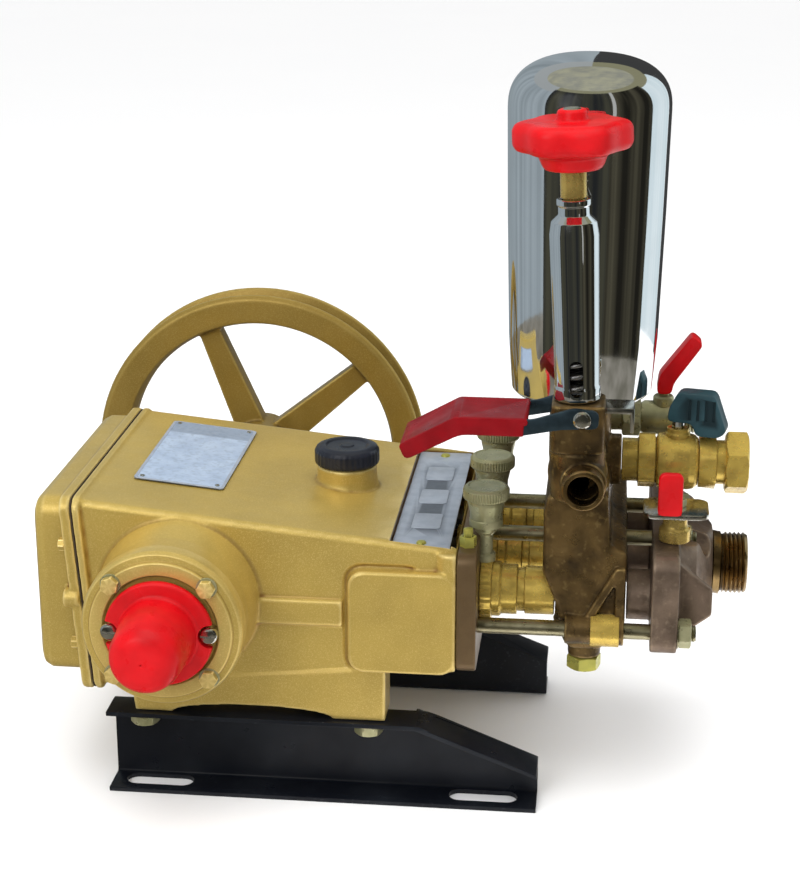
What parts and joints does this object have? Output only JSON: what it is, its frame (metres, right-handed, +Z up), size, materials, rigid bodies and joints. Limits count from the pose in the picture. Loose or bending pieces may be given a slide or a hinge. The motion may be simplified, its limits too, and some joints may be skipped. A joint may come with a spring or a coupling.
{
  "type": "pressure washer pump",
  "caption": "Belt-driven triplex plunger pump with spoked pulley, chrome air chamber, pressure regulator with red knob, release lever, ball-valve outlet and channel feet.",
  "frame": {"origin": "on the ground under the middle of the pump's box", "axes": "+X along the plungers, from the crankcase to the suction port; +Y along the crankshaft, towards the pulley; +Z up"},
  "size_m": [0.3914, 0.343, 0.379],
  "materials": {
    "gold_paint": "satin",
    "pulley_paint": "satin",
    "black_paint": "gloss",
    "bronze": "cast, satin",
    "suction_bronze": "cast, satin",
    "brass": "machined",
    "olive_brass": "plated, satin",
    "steel": "machined",
    "plated_steel": "yellow zinc plate",
    "chrome": "mirror",
    "red_plastic": "gloss",
    "dark_red_paint": "gloss",
    "teal_plastic": "satin",
    "black_plastic": "gloss",
    "clear_cover": "smoked, gloss",
    "plate_metal": "brushed",
    "rubber": "matt",
    "gasket": "fibre, matt"
  },
  "bodies": {
    "casing": {"crankcase": "gold_paint", "rear_cover": "gold_paint", "rear_cover_gasket": "gasket", "nameplate": "plate_metal", "splash_cover": "clear_cover", "bearing_cover_near": "gold_paint", "bearing_cover_far": "gold_paint", "shaft_seal": "rubber", "bearing_near": "steel", "bearing_far": "steel", "shaft_guard": "red_plastic", "cylinder_1": "brass", "cylinder_2": "brass", "cylinder_3": "brass", "packing_1": "rubber", "packing_2": "rubber", "packing_3": "rubber", "delivery_manifold": "bronze", "suction_housing": "suction_bronze", "suction_nipple": "suction_bronze", "tie_stud_low_near": "plated_steel", "tie_stud_low_far": "plated_steel", "tie_stud_top_near": "plated_steel", "tie_stud_top_far": "plated_steel", "drain_plug": "brass", "air_chamber": "chrome", "regulator_body": "bronze", "regulator_sleeve": "chrome", "regulator_spring": "steel", "overflow_nipple": "brass", "outlet_valve_body": "brass", "outlet_connector": "brass", "near_cock_body": "brass", "far_cock_body": "olive_brass", "frame_near": "black_paint", "frame_far": "black_paint"},
    "crank": {"crankshaft": "steel", "pulley": "pulley_paint"},
    "con_rod_1": {"con_rod_1": "steel"},
    "con_rod_2": {"con_rod_2": "steel"},
    "con_rod_3": {"con_rod_3": "steel"},
    "plunger_set_1": {"crosshead_1": "steel", "plunger_1": "chrome"},
    "plunger_set_2": {"crosshead_2": "steel", "plunger_2": "chrome"},
    "plunger_set_3": {"crosshead_3": "steel", "plunger_3": "chrome"},
    "oil_cap": {"oil_filler_cap": "black_plastic"},
    "grease_cap_1": {"grease_cup_cap_1": "olive_brass"},
    "grease_cap_2": {"grease_cup_cap_2": "olive_brass"},
    "grease_cap_3": {"grease_cup_cap_3": "olive_brass"},
    "regulator_screw": {"regulator_stem": "brass", "regulator_knob": "red_plastic"},
    "unloader_lever": {"release_lever": "dark_red_paint", "lever_pin": "steel"},
    "outlet_valve": {"outlet_valve_ball": "chrome", "outlet_valve_handle": "teal_plastic"},
    "union_nut": {"outlet_union_nut": "brass"},
    "near_cock": {"near_cock_lever": "red_plastic"},
    "far_cock": {"far_cock_lever": "red_plastic"}
  },
  "joints": [
    {"name": "crank_spin", "type": "hinge", "parent": "casing", "child": "crank", "pos_m": [-0.09425, 0.1575, 0.1115], "axis": [0, 1, 0], "continuous": true},
    {"name": "crank_pin_1", "type": "hinge", "parent": "crank", "child": "con_rod_1", "pos_m": [-0.09425, -0.0565, 0.1215], "axis": [0, 1, 0], "continuous": true},
    {"name": "crank_pin_2", "type": "hinge", "parent": "crank", "child": "con_rod_2", "pos_m": [-0.08559, -0.0065, 0.1065], "axis": [0, 1, 0], "continuous": true},
    {"name": "crank_pin_3", "type": "hinge", "parent": "crank", "child": "con_rod_3", "pos_m": [-0.10291, 0.0435, 0.1065], "axis": [0, 1, 0], "continuous": true},
    {"name": "plunger_stroke_1", "type": "slide", "parent": "casing", "child": "plunger_set_1", "axis": [1, 0, 0], "range_m": [-0.01, 0.01]},
    {"name": "plunger_stroke_2", "type": "slide", "parent": "casing", "child": "plunger_set_2", "axis": [1, 0, 0], "range_m": [-0.01866, 0.00134]},
    {"name": "plunger_stroke_3", "type": "slide", "parent": "casing", "child": "plunger_set_3", "axis": [1, 0, 0], "range_m": [-0.00134, 0.01866]},
    {"name": "oil_cap_turn", "type": "hinge", "parent": "casing", "child": "oil_cap", "pos_m": [-0.01825, -0.0065, 0.16], "axis": [0, 0, 1], "continuous": true},
    {"name": "grease_cap_turn_1", "type": "hinge", "parent": "casing", "child": "grease_cap_1", "pos_m": [0.05995, -0.0565, 0.16], "axis": [0, 0, 1], "continuous": true},
    {"name": "grease_cap_turn_2", "type": "hinge", "parent": "casing", "child": "grease_cap_2", "pos_m": [0.05995, -0.0065, 0.16], "axis": [0, 0, 1], "continuous": true},
    {"name": "grease_cap_turn_3", "type": "hinge", "parent": "casing", "child": "grease_cap_3", "pos_m": [0.05995, 0.0435, 0.16], "axis": [0, 0, 1], "continuous": true},
    {"name": "pressure_knob_turn", "type": "hinge", "parent": "casing", "child": "regulator_screw", "pos_m": [0.10575, -0.0785, 0.205], "axis": [-0.0454, 0, 0.999], "range_deg": [-540, 540]},
    {"name": "release_lever_lift", "type": "hinge", "parent": "casing", "child": "unloader_lever", "pos_m": [0.10775, -0.0785, 0.216], "axis": [0, 1, 0], "range_deg": [0, 50]},
    {"name": "outlet_valve_turn", "type": "hinge", "parent": "casing", "child": "outlet_valve", "pos_m": [0.15675, -0.0065, 0.19], "axis": [0, 0, 1], "range_deg": [0, 90]},
    {"name": "union_nut_turn", "type": "hinge", "parent": "casing", "child": "union_nut", "pos_m": [0.18575, -0.0065, 0.1675], "axis": [1, 0, 0], "continuous": true},
    {"name": "near_cock_turn", "type": "hinge", "parent": "casing", "child": "near_cock", "pos_m": [0.15575, -0.0515, 0.156], "axis": [0, 0, 1], "range_deg": [0, 90]},
    {"name": "far_cock_turn", "type": "hinge", "parent": "casing", "child": "far_cock", "pos_m": [0.14975, 0.0355, 0.196], "axis": [0, 0, 1], "range_deg": [0, 90]}
  ],
  "couplings": [
    {"joint": "crank_pin_1", "follows": "crank_spin", "ratio": -1},
    {"joint": "crank_pin_2", "follows": "crank_spin", "ratio": -1},
    {"joint": "crank_pin_3", "follows": "crank_spin", "ratio": -1}
  ]
}
